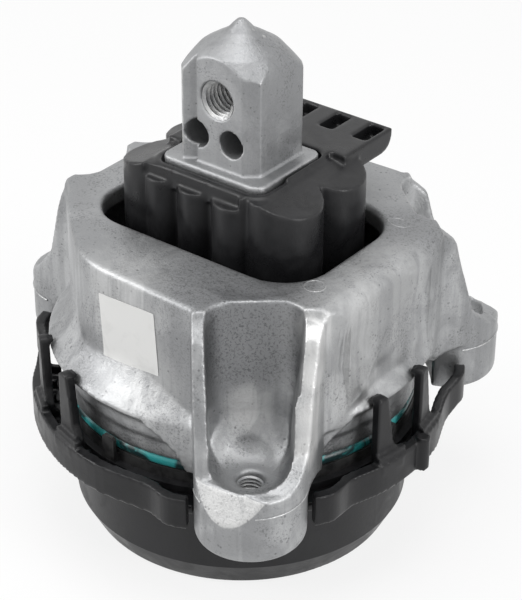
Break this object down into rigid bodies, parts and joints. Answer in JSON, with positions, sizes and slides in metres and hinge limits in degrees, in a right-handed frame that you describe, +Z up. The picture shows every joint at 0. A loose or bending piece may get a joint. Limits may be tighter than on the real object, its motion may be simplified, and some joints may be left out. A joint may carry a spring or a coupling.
{
  "type": "engine mount",
  "caption": "Hydraulic engine mount: eared die-cast bell housing, tapped core block in a lobed rubber spring with a stop tongue, clip-on plastic ring and base can.",
  "frame": {"origin": "centre of the base can's flat underside", "axes": "+Z up the mount's axis towards the core's tip, -Y the way the core's tapped face looks, +X towards the housing's flat side"},
  "size_m": [0.1515, 0.1342, 0.1666],
  "materials": {
    "die_cast_aluminium": "bare die casting, slightly rough and grey, brighter on worn edges",
    "core_aluminium": "bare casting, finer than the housing",
    "spring_rubber": "moulded black rubber, dull with soft sheen on the lobes",
    "insert_steel": "bare pressed steel",
    "ring_plastic": "moulded black glass-filled plastic",
    "seal_rubber": "turquoise sealing rubber",
    "track_plastic": "black moulded plastic",
    "membrane_rubber": "thin black rubber",
    "can_plastic": "moulded dark grey plastic, satin"
  },
  "bodies": {
    "root": {"housing": "die_cast_aluminium", "core": "core_aluminium", "rubber_spring": "spring_rubber", "spring_insert": "insert_steel", "retaining_ring": "ring_plastic", "seal": "seal_rubber", "track_upper": "track_plastic", "track_lower": "track_plastic", "decoupler": "membrane_rubber", "bellows": "membrane_rubber", "bellows_clamp_ring": "insert_steel", "base_can": "can_plastic"}
  },
  "joints": []
}
